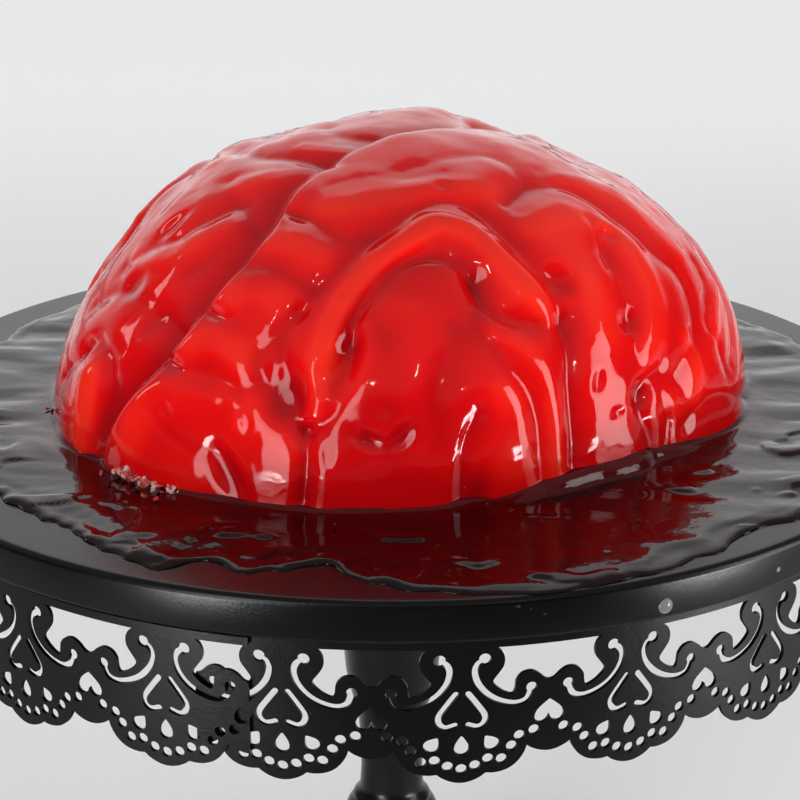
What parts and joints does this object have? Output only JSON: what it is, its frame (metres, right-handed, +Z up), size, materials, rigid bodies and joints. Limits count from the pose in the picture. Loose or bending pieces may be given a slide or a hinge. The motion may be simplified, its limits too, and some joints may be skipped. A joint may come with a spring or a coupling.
{
  "type": "brain-shaped glazed cake on a pedestal cake stand",
  "caption": "Brain-shaped mousse cake under red mirror glaze, set on a round black metal pedestal stand with a lace-cut skirt and turned column.",
  "frame": {"origin": "middle of the foot's resting face, on the floor", "axes": "+Z up along the stand's column, -Y towards the front that the picture shows, +X to its right; the long fissure of the cake runs 42 degrees from +X"},
  "size_m": [0.3, 0.3, 0.28],
  "materials": {
    "cake_glaze": "red mirror glaze, wet gloss",
    "plate_black": "satin black powder coat",
    "lace_black": "satin black powder coat on thin sheet",
    "column_black": "semi-gloss black",
    "foot_black": "satin black powder coat"
  },
  "bodies": {
    "root": {"cake": "cake_glaze", "plate": "plate_black", "lace_skirt": "lace_black", "column": "column_black", "foot": "foot_black"}
  },
  "joints": []
}
